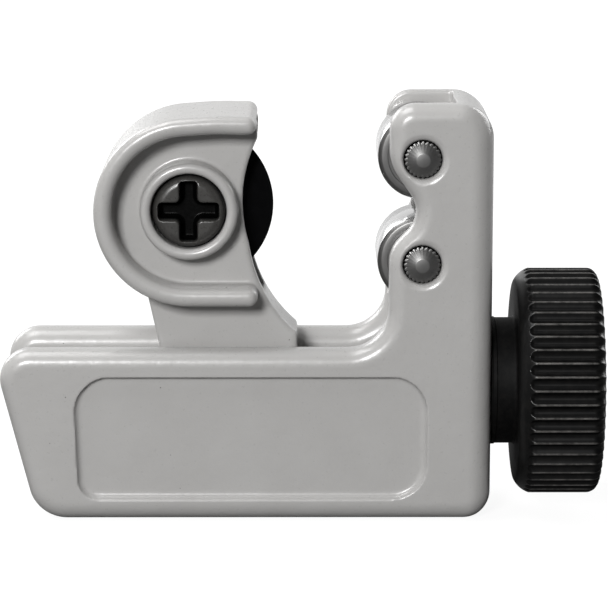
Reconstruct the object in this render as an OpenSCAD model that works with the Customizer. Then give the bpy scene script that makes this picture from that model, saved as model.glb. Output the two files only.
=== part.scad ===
// Mini tube cutter: a cast frame with two rollers, a slide that carries the
// cutting wheel, and a captive feed screw with a fluted knob.
// X runs along the feed screw towards the knob, Y across the frame, Z up.
// The origin is under the middle of the overall box, on the surface it stands on.

/* [Frame] */
// Length of the frame, from its slanted end to the knob side
frame_len = 54.05; // [50:0.05:60]
// Width of the frame across its two plates
frame_w = 16; // [15:0.1:18]
// Height of the base beam
base_h = 19.2; // [18:0.1:23]
// Height of the upright over the beam
upright_h = 27.05; // [24:0.05:32]
// Lean of the beam's free end, in degrees from upright
end_lean = 14.3; // [8:0.1:18]
// Corner radius at the top of the beam's free end
tip_r = 3.4; // [2:0.1:4.5]
// Corner radius at the bottom of the beam's free end
toe_r = 4.2; // [2:0.1:5]
// Corner radius under the knob
heel_r = 3; // [1.5:0.1:4]
// Length of the upright along the beam
upright_len = 11.35; // [11:0.05:13]
// Corner radius at the top of the upright, on the knob side
crown_r = 3.9; // [2:0.1:5]
// Corner radius at the top of the upright, on the roller side
brow_r = 2.8; // [1.5:0.1:3.5]
// Radius of the inside corner between upright and beam
crook_r = 4.5; // [3:0.1:4.6]

/* [Notch between the rollers] */
// Depth of the notch's meeting point behind the upright's edge
notch_depth = 3.83; // [3.4:0.01:4]
// Drop of the notch below the middle of the two rollers
notch_drop = 0.37; // [0:0.01:0.8]
// Lean of the notch's upper side, in degrees from upright
notch_upper_lean = 35; // [32:1:40]
// Lean of the notch's lower side, in degrees from upright
notch_lower_lean = 45; // [40:1:50]
// Radius inside the notch
notch_r = 3.1; // [2:0.1:3.2]
// Radius where the notch runs into the edge above it
notch_upper_r = 5.5; // [3:0.1:6]
// Radius where the notch runs into the edge below it
notch_lower_r = 3.8; // [2:0.1:4]

/* [Channel] */
// Width of the slot in the top of the beam
channel_w = 7.2; // [7.1:0.05:7.6]
// Thickness of the floor under the channel
floor_t = 3.6; // [2.5:0.1:4.5]
// Width of the channel under its lips
undercut_w = 10; // [9.4:0.1:11]
// Height of the channel under its lips
undercut_h = 7; // [5.5:0.1:7.4]
// Width of the slot between the upright's plates
roller_slot_w = 10; // [9.9:0.1:11]
// Thickness of the wall at the knob side
web_t = 4.05; // [3.4:0.05:4.3]
// Length of the pocket for the retaining ring
ring_pocket_len = 4.4; // [3:0.1:4.6]

/* [Side panel] */
// Distance of the sunk panel from the beam's free end
panel_from_tip = 8.1; // [7:0.1:12]
// Distance of the sunk panel from the knob side
panel_from_heel = 7.1; // [5:0.1:12]
// Height of the panel's lower edge
panel_low = 2.55; // [2:0.05:5]
// Distance of the panel's upper edge below the beam's top
panel_drop = 2.9; // [2.2:0.1:5]
// Lean of the panel's end, in degrees
panel_lean = 2; // [0:0.5:6]
// Corner radius of the panel
panel_r = 3.9; // [2:0.1:4.5]
// Corner radius of the panel at the toe
panel_toe_r = 2.2; // [1:0.1:4]
// Depth of the panel
panel_depth = 0.7; // [0.3:0.1:1.2]

/* [Rollers] */
// Radius of a roller
roller_r = 4.83; // [4.5:0.01:5]
// Length of a roller
roller_len = 9.6; // [9:0.1:9.7]
// Edge break of a roller
roller_chamfer = 0.4; // [0.1:0.05:0.8]
// Distance of the roller axes behind the upright's edge
roller_inset = 3.6; // [3.3:0.05:3.9]
// Distance of the upper roller's axis below the top of the upright
roller_drop = 5.95; // [5.6:0.05:7]
// Distance between the two roller axes
roller_pitch = 11.55; // [10.5:0.05:11.8]
// Radius of a roller pin
pin_r = 2; // [1.5:0.05:2.3]
// How far a pin stands proud of the frame at each end
pin_proud = 0.3; // [0.1:0.05:0.8]
// Length of a pin's tapered end
pin_taper = 0.7; // [0.3:0.05:1]
// Radius of the flat at a pin's end
pin_flat_r = 0.75; // [0.4:0.05:1.2]

/* [Feed screw] */
// Distance of the screw's axis below the top of the beam
screw_drop = 4.95; // [4.6:0.05:5.6]
// Radius of the screw over its threads
screw_r = 2.5; // [2.3:0.05:2.6]
// Pitch of the thread
thread_pitch = 1.25; // [0.8:0.05:1.5]
// Depth of the thread
thread_depth = 0.55; // [0.3:0.05:0.7]
// Distance of the screw's tip from the beam's free end
tip_inset = 8.4; // [4:0.1:9]
// Length of the screw's grip inside the knob
grip_len = 5.7; // [4:0.1:7]
// Radius of the screw's grip inside the knob
grip_r = 3.3; // [2.8:0.1:5]

/* [Knob] */
// Radius of the knob
knob_r = 12.6; // [12:0.1:13.5]
// Length of the knob without its collar
knob_len = 8.9; // [8.5:0.1:12]
// Radius of the collar
collar_r = 7.2; // [6:0.1:8.5]
// Length of the collar
collar_len = 3.25; // [2:0.05:4]
// Rounding of the knob towards the frame
shoulder_r = 1.5; // [0.5:0.1:2.5]
// Rounding of the knob's outer edge
rim_r = 1; // [0.4:0.1:2]
// Number of flutes around the knob
flutes = 52; // [40:1:56]
// Radius of a flute
flute_r = 0.62; // [0.4:0.01:0.66]
// Depth of a flute
flute_depth = 0.42; // [0.2:0.01:0.5]
// Smooth band before the flutes
flute_start = 1.8; // [1:0.1:3]
// Radius of the dish in the knob's end
dish_r = 9; // [6:0.1:10]
// Depth of the dish in the knob's end
dish_depth = 0.6; // [0.3:0.1:1.2]

/* [Ring and washer] */
// Outer radius of the retaining ring
ring_r = 4.4; // [3.6:0.1:4.6]
// Thickness of the retaining ring
ring_t = 0.7; // [0.5:0.05:1]
// Depth of the ring's groove in the screw
groove_depth = 0.5; // [0.3:0.05:0.7]
// Outer radius of the thrust washer
washer_r = 4.6; // [3.8:0.1:4.7]
// Thickness of the thrust washer
washer_t = 0.55; // [0.4:0.05:1]

/* [Slide] */
// Distance of the wheel's axis from the roller axes, along the screw
wheel_gap = 25.45; // [24:0.05:27]
// Distance of the wheel's axis below the middle of the two rollers
wheel_drop = 0.175; // [0:0.005:0.5]
// Outer radius of the hood
hood_r = 10.35; // [10.3:0.05:10.8]
// Thickness of the hood's rim
rim_t = 1.95; // [1.6:0.05:2.4]
// Width of the hood's rim across the slide
hood_w = 15; // [12:0.1:15]
// Width of the slide's plate
plate_w = 7; // [6.7:0.05:7.1]
// Width of the slot for the wheel
wheel_slot_w = 4.3; // [4.2:0.05:4.5]
// Length of the roof past the wheel's axis
roof_reach = 7.5; // [7:0.1:8]
// Rounding of the roof's corner
roof_r = 1.3; // [0.5:0.1:1.8]
// Length of the lower rim past the wheel's axis
bar_reach = 7.5; // [5:0.1:8]
// Lean of the neck's back edge, in degrees from upright
neck_lean = 12; // [8:0.5:16]
// Distance of the neck's back edge behind the wheel's axis, at the beam's top
neck_back = 3.35; // [2.5:0.05:5]
// Distance of the neck's front face ahead of the wheel's axis
neck_front = 11.85; // [11:0.05:12.5]
// Radius of the open side around the wheel
throat_r = 16; // [14:0.1:20]
// Distance from the wheel's axis to the waist of the open side
throat_waist = 5.85; // [5.7:0.05:6.2]
// Height of the waist over the wheel's axis
throat_rise = 0.65; // [0:0.05:1.5]
// Radius of the hollow between throat and neck
hollow_r = 15.3; // [14:0.1:18]
// Distance from the wheel's axis to the hollow's waist
hollow_waist = 6.45; // [6.3:0.05:7]
// Drop of the hollow's waist below the wheel's axis
hollow_drop = 2.3; // [1.5:0.05:3.5]
// Width of the foot under the lips
foot_w = 9.6; // [9:0.1:9.8]

/* [Cutting wheel and its screw] */
// Radius of the cutting wheel
wheel_r = 9.2; // [8.8:0.05:9.3]
// Radius of the wheel's hub
hub_r = 4.4; // [3.8:0.1:5]
// Width of the wheel's hub
hub_w = 4.1; // [3.6:0.05:4.2]
// Thickness of the wheel's disc
disc_t = 1.6; // [1:0.1:2.2]
// Length of the ground edge of the wheel
edge_len = 2.6; // [1.5:0.1:3.2]
// Radius of the bosses around the wheel screw
boss_r = 5.35; // [5:0.05:5.5]
// Width across the bosses
boss_w = 12.6; // [11.6:0.1:13.6]
// Radius of the screw's head
head_r = 4; // [3.5:0.05:4.2]
// Thickness of the screw's head
head_t = 2.4; // [1.8:0.1:2.5]
// Radius of the shoulder that the wheel turns on
shoulder_screw_r = 2.5; // [2:0.05:2.8]
// Radius of the screw's thread
wheel_thread_r = 2; // [1.5:0.05:2.2]
// Span of the cross recess
cross_span = 6.6; // [5:0.1:6.8]
// Width of the cross recess
cross_w = 1.95; // [1.4:0.05:2.2]
// Depth of the cross recess
cross_depth = 1.5; // [1:0.1:1.6]

/* [Clearances] */
// Running clearance of a shaft in its bore, on the radius
run_gap = 0.06; // [0.02:0.01:0.1]
// Gap between faces that turn or slide on each other
face_gap = 0.05; // [0.02:0.01:0.1]
// Gap around a pressed or screwed piece
seat_gap = 0.02; // [0.01:0.01:0.05]
// Gap between a moving outline and the casting around it
cast_gap = 0.3; // [0.2:0.05:0.35]

/* [Hidden] */
$fn = 96;

// Length past a solid's surface that each cut runs
overrun = 1;

// Places along X
total_len = frame_len + collar_len + knob_len;
tip_x = -total_len / 2;
wall_x = tip_x + frame_len;
web_x = wall_x - web_t;
upright_x = wall_x - upright_len;
roller_x = upright_x + roller_inset;
wheel_x = roller_x - wheel_gap;
knob_x = wall_x + collar_len;
knob_end_x = knob_x + knob_len;
screw_tip_x = tip_x + tip_inset;
washer_x = web_x - face_gap - washer_t;
ring_x = washer_x - face_gap - ring_t;
ring_pocket_x = web_x - ring_pocket_len;

// Places along Z
frame_h = base_h + upright_h;
screw_z = base_h - screw_drop;
upper_roller_z = frame_h - roller_drop;
lower_roller_z = upper_roller_z - roller_pitch;
rollers_mid_z = (lower_roller_z + upper_roller_z) / 2;
wheel_z = rollers_mid_z - wheel_drop;
notch_z = rollers_mid_z - notch_drop;
lip_z = floor_t + undercut_h;
roller_pocket_r = roller_r + 1.5 * cast_gap;
roller_slot_z = lower_roller_z - roller_pocket_r;

// The beam's slanted end meets its top and bottom at these places
tip_corner_x = tip_x + tip_r * (1 - 1 / tan((90 - end_lean) / 2));
toe_corner_x = tip_corner_x + base_h * tan(end_lean);

// The notch meets the upright's edge at these heights
notch_top_z = notch_z + notch_depth / tan(notch_upper_lean);
notch_low_z = notch_z - notch_depth / tan(notch_lower_lean);

// Head, shoulder and thread of the wheel screw, across the slide
head_seat_y = -boss_w / 2 + cast_gap + head_t;
head_face_y = head_seat_y - head_t;
screw_end_y = boss_w / 2 - cast_gap;
wheel_pocket_r = wheel_r + 1.2 * cast_gap;

// Ready-made shapes

// A round bar along X
module bar_x(x0, x1, r) {
    translate([x0, 0, screw_z])
        rotate([0, 90, 0])
            cylinder(h = x1 - x0, r = r);
}

// A round bar across the frame, at a place in the side view
module bar_y(x, z, y0, y1, r) {
    translate([x, y1, z])
        rotate([90, 0, 0])
            cylinder(h = y1 - y0, r = r);
}

// A side view made solid across the frame
module slab(w) {
    translate([0, w / 2, 0])
        rotate([90, 0, 0])
            linear_extrude(height = w)
                children();
}

// A box given by its lowest and highest corners
module block(low, high) {
    translate(low)
        cube(high - low);
}

// An outline with true arcs at its corners: points run counter-clockwise
module rounded_outline(points, radii) {
    n = len(points);
    corners = [for (i = [0:n - 1]) corner(points[(i + n - 1) % n], points[i], points[(i + 1) % n], radii[i])];
    difference() {
        union() {
            polygon([for (c = corners) each [c[1], c[2]]]);
            for (i = [0:n - 1])
                if (corners[i][0] > 0)
                    corner_sector(points[i], corners[i], radii[i]);
        }
        for (i = [0:n - 1])
            if (corners[i][0] < 0)
                corner_sector(points[i], corners[i], radii[i]);
    }
}

// The sector of a corner's circle between its two tangent points
module corner_sector(at, c, r) {
    intersection() {
        polygon([at, c[2], c[3], c[1]]);
        translate(c[3])
            circle(r = r);
    }
}

// Turn, two tangent points and arc centre of one corner
function corner(before, at, after, r) =
    let (
        u = (before - at) / norm(before - at),
        v = (after - at) / norm(after - at),
        turn = v[0] * u[1] - v[1] * u[0],
        half = acos(u * v) / 2,
        t = r / tan(half),
        middle = (u + v) / norm(u + v)
    )
    [turn, at + t * u, at + t * v, at + middle * r / sin(half)];

// The frame

module frame_outline() {
    rounded_outline(
        [
            [toe_corner_x, 0],
            [wall_x, 0],
            [wall_x, frame_h],
            [upright_x, frame_h],
            [upright_x, notch_top_z],
            [upright_x + notch_depth, notch_z],
            [upright_x, notch_low_z],
            [upright_x, base_h],
            [tip_corner_x, base_h]
        ],
        [toe_r, heel_r, crown_r, brow_r, notch_upper_r, notch_r, notch_lower_r, crook_r, tip_r]
    );
}

module panel_outline() {
    low_x = tip_x + panel_from_tip;
    high_z = base_h - panel_drop;
    lean_x = (high_z - panel_low) * tan(panel_lean);
    right_x = wall_x - panel_from_heel;
    rounded_outline(
        [[low_x + lean_x, panel_low], [right_x, panel_low], [right_x, high_z], [low_x, high_z]],
        [panel_toe_r, panel_r, panel_r, panel_r]
    );
}

module frame() {
    color([0.68, 0.68, 0.67])
    difference() {
        slab(frame_w) frame_outline();
        // Channel for the slide, with its undercut
        block(
            [tip_x - overrun, -channel_w / 2, floor_t],
            [web_x, channel_w / 2, frame_h + overrun]
        );
        block(
            [tip_x - overrun, -undercut_w / 2, floor_t],
            [web_x, undercut_w / 2, lip_z]
        );
        // Slot for the rollers, with a round pocket for each
        block(
            [upright_x - crook_r, -roller_slot_w / 2, roller_slot_z],
            [web_x, roller_slot_w / 2, frame_h + overrun]
        );
        for (z = [lower_roller_z, upper_roller_z])
            bar_y(roller_x, z, -roller_slot_w / 2, roller_slot_w / 2, roller_pocket_r);
        // Pocket for the retaining ring and the washer
        block(
            [ring_pocket_x, -roller_slot_w / 2, screw_z - roller_slot_w / 2],
            [web_x, roller_slot_w / 2, roller_slot_z + overrun]
        );
        // Bores for the roller pins and the feed screw
        for (z = [lower_roller_z, upper_roller_z])
            bar_y(roller_x, z, -frame_w / 2 - overrun, frame_w / 2 + overrun, pin_r + seat_gap);
        bar_x(web_x - overrun, wall_x + overrun, screw_r + run_gap);
        // Sunk panel in each side
        for (side = [-1, 1])
            translate([0, side * (frame_w / 2 + overrun / 2), 0])
                slab(overrun + 2 * panel_depth) panel_outline();
    }
}

// The slide

module hood_outline() {
    difference() {
        union() {
            translate([wheel_x, wheel_z])
                circle(r = hood_r);
            roof_outline();
            translate([wheel_x, wheel_z - hood_r])
                square([neck_front, 2 * hood_r - roof_r]);
        }
        throat_outline();
    }
}

// The roof's run past the wheel axis, with its rounded corner
module roof_outline() {
    translate([wheel_x, wheel_z])
        square([roof_reach - roof_r, hood_r]);
    translate([wheel_x, wheel_z])
        square([roof_reach, hood_r - roof_r]);
    translate([wheel_x + roof_reach - roof_r, wheel_z + hood_r - roof_r])
        circle(r = roof_r);
}

// The open side in front of the wheel
module throat_outline() {
    translate([wheel_x + throat_waist + throat_r, wheel_z + throat_rise])
        circle(r = throat_r);
    translate([wheel_x + hollow_waist + hollow_r, wheel_z - hollow_drop])
        circle(r = hollow_r);
    translate([wheel_x + roof_reach, wheel_z])
        square([throat_r, 2 * hood_r]);
}

module neck_outline() {
    back_x = wheel_x - neck_back;
    back_rise = wheel_z - base_h;
    foot_z = floor_t + cast_gap;
    difference() {
        polygon([
            [back_x + (base_h - foot_z) * tan(neck_lean), foot_z],
            [wheel_x + neck_front, foot_z],
            [wheel_x + neck_front, wheel_z],
            [back_x - back_rise * tan(neck_lean), wheel_z]
        ]);
        throat_outline();
    }
}

module foot_outline() {
    intersection() {
        neck_outline();
        translate([tip_x, floor_t])
            square([total_len, undercut_h - cast_gap]);
    }
}

// The rim: an arc behind the wheel, the roof over it and a bar under it
module rim_outline() {
    inner_r = hood_r - rim_t;
    difference() {
        union() {
            translate([wheel_x, wheel_z])
                circle(r = hood_r);
            roof_outline();
            translate([wheel_x, wheel_z - hood_r])
                square([bar_reach - rim_t / 2, hood_r]);
            translate([wheel_x + bar_reach - rim_t / 2, wheel_z - hood_r + rim_t / 2])
                circle(r = rim_t / 2);
        }
        translate([wheel_x, wheel_z])
            circle(r = inner_r);
        translate([wheel_x, wheel_z - inner_r])
            square([hood_r + overrun, 2 * inner_r]);
    }
}

module slide() {
    color([0.68, 0.68, 0.67])
    difference() {
        union() {
            slab(plate_w) hood_outline();
            slab(plate_w) neck_outline();
            slab(foot_w) foot_outline();
            slab(hood_w) rim_outline();
            bar_y(wheel_x, wheel_z, -boss_w / 2, boss_w / 2, boss_r);
        }
        // Slot for the wheel
        bar_y(wheel_x, wheel_z, -wheel_slot_w / 2, wheel_slot_w / 2, wheel_pocket_r);
        block(
            [wheel_x, -wheel_slot_w / 2, wheel_z - wheel_pocket_r],
            [wheel_x + neck_front, wheel_slot_w / 2, wheel_z + wheel_pocket_r]
        );
        // Seat and bores for the wheel screw
        bar_y(wheel_x, wheel_z, -boss_w, head_seat_y, head_r + cast_gap / 2);
        bar_y(wheel_x, wheel_z, head_seat_y - overrun, overrun, shoulder_screw_r + seat_gap);
        bar_y(wheel_x, wheel_z, overrun, boss_w, wheel_thread_r + seat_gap);
        // Bore for the feed screw
        bar_x(tip_x, knob_x, screw_r + run_gap);
    }
}

// The cutting wheel, on the wheel screw's shoulder
module cutter_wheel() {
    edge_r = wheel_r - edge_len;
    color([0.09, 0.09, 0.1])
    translate([wheel_x, 0, wheel_z])
        rotate([90, 0, 0])
            rotate_extrude()
                polygon([
                    [shoulder_screw_r + run_gap, -hub_w / 2],
                    [hub_r, -hub_w / 2],
                    [hub_r, -disc_t / 2],
                    [edge_r, -disc_t / 2],
                    [wheel_r, 0],
                    [edge_r, disc_t / 2],
                    [hub_r, disc_t / 2],
                    [hub_r, hub_w / 2],
                    [shoulder_screw_r + run_gap, hub_w / 2]
                ]);
}

module wheel_screw() {
    color([0.13, 0.13, 0.14])
    difference() {
        union() {
            bar_y(wheel_x, wheel_z, head_face_y, head_seat_y, head_r);
            bar_y(wheel_x, wheel_z, head_seat_y - overrun / 2, wheel_slot_w / 2, shoulder_screw_r);
            bar_y(wheel_x, wheel_z, 0, screw_end_y, wheel_thread_r);
        }
        // Cross recess in the head
        for (turn = [0, 90])
            translate([wheel_x, head_face_y, wheel_z])
                rotate([0, turn, 0])
                    block(
                        [-cross_span / 2, -overrun, -cross_w / 2],
                        [cross_span / 2, cross_depth, cross_w / 2]
                    );
    }
}

// The rollers and their pins

module roller(z) {
    color([0.62, 0.63, 0.64])
    translate([roller_x, 0, z])
        rotate([90, 0, 0])
            rotate_extrude()
                polygon([
                    [pin_r + run_gap, -roller_len / 2],
                    [roller_r - roller_chamfer, -roller_len / 2],
                    [roller_r, -roller_len / 2 + roller_chamfer],
                    [roller_r, roller_len / 2 - roller_chamfer],
                    [roller_r - roller_chamfer, roller_len / 2],
                    [pin_r + run_gap, roller_len / 2]
                ]);
}

module roller_pin(z) {
    end_y = frame_w / 2 + pin_proud;
    color([0.33, 0.33, 0.34])
    translate([roller_x, 0, z])
        rotate([90, 0, 0])
            rotate_extrude()
                polygon([
                    [0, -end_y],
                    [pin_flat_r, -end_y],
                    [pin_r, -end_y + pin_taper],
                    [pin_r, end_y - pin_taper],
                    [pin_flat_r, end_y],
                    [0, end_y]
                ]);
}

module upper_roller() {
    roller(upper_roller_z);
}

module lower_roller() {
    roller(lower_roller_z);
}

module upper_roller_pin() {
    roller_pin(upper_roller_z);
}

module lower_roller_pin() {
    roller_pin(lower_roller_z);
}

// The feed screw: threads drawn as rings, a plain journal in the wall, a grip in the knob
module feed_screw() {
    root_r = screw_r - thread_depth;
    threads = floor((ring_x - 2 * thread_pitch - screw_tip_x) / thread_pitch);
    journal_x = screw_tip_x + (threads + 0.5) * thread_pitch;
    grip_x = knob_x + thread_pitch;
    color([0.5, 0.5, 0.52])
    translate([0, 0, screw_z])
        rotate([0, 90, 0])
            rotate_extrude()
                polygon([
                    [0, screw_tip_x],
                    for (i = [0:threads - 1]) each [
                        [root_r, screw_tip_x + i * thread_pitch],
                        [screw_r, screw_tip_x + (i + 0.5) * thread_pitch]
                    ],
                    [root_r, screw_tip_x + threads * thread_pitch],
                    [screw_r, journal_x],
                    [screw_r, ring_x - seat_gap],
                    [screw_r - groove_depth, ring_x - seat_gap],
                    [screw_r - groove_depth, ring_x + ring_t + seat_gap],
                    [screw_r, ring_x + ring_t + seat_gap],
                    [screw_r, grip_x],
                    [grip_r, grip_x],
                    [grip_r, grip_x + grip_len],
                    [0, grip_x + grip_len]
                ]);
}

// The snap ring in the screw's groove, open towards the top
module retaining_ring() {
    inner_r = screw_r - groove_depth + seat_gap;
    color([0.35, 0.35, 0.36])
    difference() {
        bar_x(ring_x, ring_x + ring_t, ring_r);
        bar_x(ring_x - overrun, ring_x + ring_t + overrun, inner_r);
        block(
            [ring_x - overrun, -0.8 * inner_r, screw_z],
            [ring_x + ring_t + overrun, 0.8 * inner_r, screw_z + ring_r + overrun]
        );
    }
}

module thrust_washer() {
    color([0.6, 0.6, 0.62])
    difference() {
        bar_x(washer_x, washer_x + washer_t, washer_r);
        bar_x(washer_x - overrun, web_x, screw_r + seat_gap);
    }
}

// The knob and its collar
module knob_profile() {
    collar_x = wall_x + face_gap;
    difference() {
        union() {
            translate([0, collar_x])
                square([collar_r, knob_x + overrun - collar_x]);
            translate([0, knob_x])
                square([knob_r - shoulder_r, knob_len]);
            translate([0, knob_x + shoulder_r])
                square([knob_r, knob_len - shoulder_r - rim_r]);
            translate([0, knob_end_x - 2 * rim_r])
                square([knob_r - rim_r, 2 * rim_r]);
            translate([knob_r - shoulder_r, knob_x + shoulder_r])
                circle(r = shoulder_r);
            translate([knob_r - rim_r, knob_end_x - rim_r])
                circle(r = rim_r);
        }
        translate([-overrun, 0])
            square([overrun, knob_end_x + overrun]);
        translate([0, knob_end_x - dish_depth])
            square([dish_r, dish_depth + overrun]);
    }
}

module knob() {
    grip_x = knob_x + thread_pitch;
    flute_axis_r = knob_r - flute_depth + flute_r;
    color([0.1, 0.1, 0.1])
    difference() {
        translate([0, 0, screw_z])
            rotate([0, 90, 0])
                rotate_extrude()
                    knob_profile();
        // Bore for the screw, with room for its grip
        bar_x(wall_x, grip_x + overrun, screw_r + seat_gap);
        bar_x(grip_x - seat_gap, grip_x + grip_len + seat_gap, grip_r + seat_gap);
        // Flutes around the edge
        for (i = [0:flutes - 1])
            translate([knob_x + flute_start, 0, screw_z])
                rotate([(i + 0.5) * 360 / flutes, 0, 0])
                    translate([0, 0, flute_axis_r])
                        rotate([0, 90, 0])
                            cylinder(h = knob_len, r = flute_r, $fn = 24);
    }
}

frame();
slide();
cutter_wheel();
wheel_screw();
upper_roller();
lower_roller();
upper_roller_pin();
lower_roller_pin();
feed_screw();
knob();
retaining_ring();
thrust_washer();
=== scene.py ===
"""Looks of the mini tube cutter: castings, turned parts, materials, light and camera.

Lengths are in millimetres in the part's own frame, and meshes are scaled to metres once they are made.
X runs along the feed screw towards the knob, Y away from the wheel screw's head, Z up.
"""

import math
from itertools import pairwise

import bmesh
import bpy
from mathutils import Matrix, Vector


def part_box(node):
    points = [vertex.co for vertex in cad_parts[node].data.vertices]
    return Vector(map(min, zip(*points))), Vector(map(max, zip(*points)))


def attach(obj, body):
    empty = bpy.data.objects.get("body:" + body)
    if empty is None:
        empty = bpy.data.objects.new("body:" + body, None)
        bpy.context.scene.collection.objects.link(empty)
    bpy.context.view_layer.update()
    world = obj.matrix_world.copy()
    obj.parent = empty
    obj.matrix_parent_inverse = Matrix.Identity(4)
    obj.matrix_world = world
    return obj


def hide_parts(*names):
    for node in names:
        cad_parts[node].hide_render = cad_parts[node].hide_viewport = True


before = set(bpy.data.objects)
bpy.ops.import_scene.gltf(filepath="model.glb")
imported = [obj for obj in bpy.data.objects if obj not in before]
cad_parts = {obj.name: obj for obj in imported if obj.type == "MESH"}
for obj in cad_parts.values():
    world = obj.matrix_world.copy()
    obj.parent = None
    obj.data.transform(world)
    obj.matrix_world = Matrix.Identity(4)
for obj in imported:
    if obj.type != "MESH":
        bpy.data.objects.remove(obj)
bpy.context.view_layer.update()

MM = 0.001
ARC_STEP = math.radians(5)
TURN_STEPS, ROUND_STEPS, BORE_STEPS = 128, 96, 64
SAME_PLACE = 0.001

# Voxel size and rounds of smoothing of each skin
FRAME_SKIN, SLIDE_SKIN, SCREW_SKIN = (0.16, 4), (0.14, 4), (0.07, 3)


def cad_box(node):
    """A node's lowest and highest corners, in millimetres."""
    low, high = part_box(node)
    return low / MM, high / MM


FRAME_LOW, FRAME_HIGH = cad_box("frame")
SLIDE_LOW, SLIDE_HIGH = cad_box("slide")
WHEEL_LOW, WHEEL_HIGH = cad_box("cutter_wheel")
SCREW_LOW, SCREW_HIGH = cad_box("wheel_screw")
KNOB_LOW, KNOB_HIGH = cad_box("knob")
FEED_LOW, FEED_HIGH = cad_box("feed_screw")
ROLLER_BOXES = {name: cad_box(name) for name in ("upper_roller", "lower_roller")}
PIN_BOXES = {name: cad_box(name) for name in ("upper_roller_pin", "lower_roller_pin")}

# Frame
BASE_H = 19.2
UPRIGHT_LEN = 11.35
END_LEAN = math.radians(14.3)
TIP_R, TOE_R, HEEL_R = 3.4, 4.2, 3.0
CROWN_R, BROW_R, CROOK_R = 3.9, 2.8, 4.5
NOTCH_DEPTH, NOTCH_DROP, NOTCH_R = 3.83, 0.37, 3.1
NOTCH_UPPER_LEAN, NOTCH_UPPER_R = math.radians(35), 5.5
NOTCH_LOWER_LEAN, NOTCH_LOWER_R = math.radians(45), 3.8
FLOOR_T, WEB_T = 3.6, 4.05
CHANNEL_W, UNDERCUT_W, UNDERCUT_H = 7.2, 10.0, 7.0
ROLLER_SLOT_W, ROLLER_GAP = 10.0, 0.45
RING_POCKET_LEN = 4.4
PANEL_FROM_TIP, PANEL_FROM_HEEL = 8.1, 7.1
PANEL_LOW, PANEL_DROP = 2.55, 2.9
PANEL_LEAN = math.radians(2)
PANEL_R, PANEL_TOE_R, PANEL_DEPTH = 3.9, 2.2, 0.7
OUTER_FILLET, LARGE_FILLET, INNER_FILLET = 1.7, 2.4, 1.9
DISH_R, DISH_DEPTH, PIN_HOLE_R = 2.75, 0.35, 2.1

# Slide
ROOF_REACH, ROOF_R, ROOF_UNDER_R = 7.5, 1.0, 0.9
ROOF_RISE, ROOF_FALL, ROOF_TOP = math.radians(4), math.radians(1), 3.0
BAR_REACH = 7.5
RIM_T, RIM_OUTER_R, RIM_INNER_R, RIM_COVE = 1.95, 0.90, 1.0, 0.35
PLATE_W = 7.0
NECK_LEAN = math.radians(12)
NECK_BACK, NECK_FRONT = 3.35, 11.85
THROAT_R, THROAT_WAIST, THROAT_RISE = 16.0, 5.85, 0.65
HOLLOW_R, HOLLOW_WAIST, HOLLOW_DROP = 15.3, 6.45, 2.3
FOOT_W, FOOT_GAP = 9.6, 0.3
WHEEL_SLOT_W, WHEEL_GAP = 4.3, 0.36
BOSS_R, BOSS_W, BOSS_LIP, BOSS_COVE = 5.35, 12.6, 1.2, 0.2
THREAD_HOLE_R = 2.05

# Feed screw, knob and wheel screw
COLLAR_LEN, BODY_FORWARD = 3.2, 0.35
SHOULDER_DROP, KNOB_RIM_R = 1.4, 1.2
SCREW_R, THREAD_PITCH, THREAD_DEPTH = 2.5, 1.25, 0.55
RUN_GAP, SEAT_GAP = 0.06, 0.02

# Derived places
HALF_W = FRAME_HIGH.y
WALL_X = FRAME_HIGH.x
WEB_X = WALL_X - WEB_T
UPRIGHT_X = WALL_X - UPRIGHT_LEN
FRAME_H = FRAME_HIGH.z
TIP_X = FRAME_LOW.x + TIP_R * (1 - 1 / math.tan((math.pi / 2 - END_LEAN) / 2))
LIP_Z = FLOOR_T + UNDERCUT_H
KNOB_Z = (KNOB_LOW.z + KNOB_HIGH.z) / 2
KNOB_R = (KNOB_HIGH.z - KNOB_LOW.z) / 2
GRIP_X = KNOB_LOW.x + COLLAR_LEN + THREAD_PITCH
ROLLER_R = (ROLLER_BOXES["upper_roller"][1].z - ROLLER_BOXES["upper_roller"][0].z) / 2
ROLLER_CENTRES = {name: (low + high) / 2 for name, (low, high) in ROLLER_BOXES.items()}
ROLLERS_MID_Z = sum(centre.z for centre in ROLLER_CENTRES.values()) / 2
POCKET_R = ROLLER_R + ROLLER_GAP
SLOT_Z = ROLLER_CENTRES["lower_roller"].z - POCKET_R
WHEEL = (WHEEL_LOW + WHEEL_HIGH) / 2
WHEEL_R = (WHEEL_HIGH.z - WHEEL_LOW.z) / 2
HOOD_R = SLIDE_HIGH.z - WHEEL.z
HOOD_HALF_W = SLIDE_HIGH.y
FOOT_Z = FLOOR_T + FOOT_GAP


# Outlines and solids


def outline(corners):
    """Points (x, z, flare) of a closed anticlockwise outline.

    Each corner is (x, z, radius) or (x, z, radius, flare), and becomes an arc of its radius.
    """
    points = []
    for i, (x, z, radius, *rest) in enumerate(corners):
        flare = rest[0] if rest else 1.0
        at = Vector((x, z))
        back = (Vector(corners[i - 1][:2]) - at).normalized()
        ahead = (Vector(corners[(i + 1) % len(corners)][:2]) - at).normalized()
        if radius == 0:
            points.append((at.x, at.y, flare))
            continue
        half = back.angle(ahead) / 2
        centre = at + (back + ahead).normalized() * radius / math.sin(half)
        spoke = at + back * radius / math.tan(half) - centre
        turn = (math.pi - 2 * half) * (1 if back.cross(ahead) < 0 else -1)
        steps = max(1, math.ceil(abs(turn) / ARC_STEP))
        for step in range(steps + 1):
            point = centre + Matrix.Rotation(turn * step / steps, 2) @ spoke
            points.append((point.x, point.y, flare))
    return [p for i, p in enumerate(points) if math.dist(p[:2], points[i - 1][:2]) > SAME_PLACE]


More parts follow.
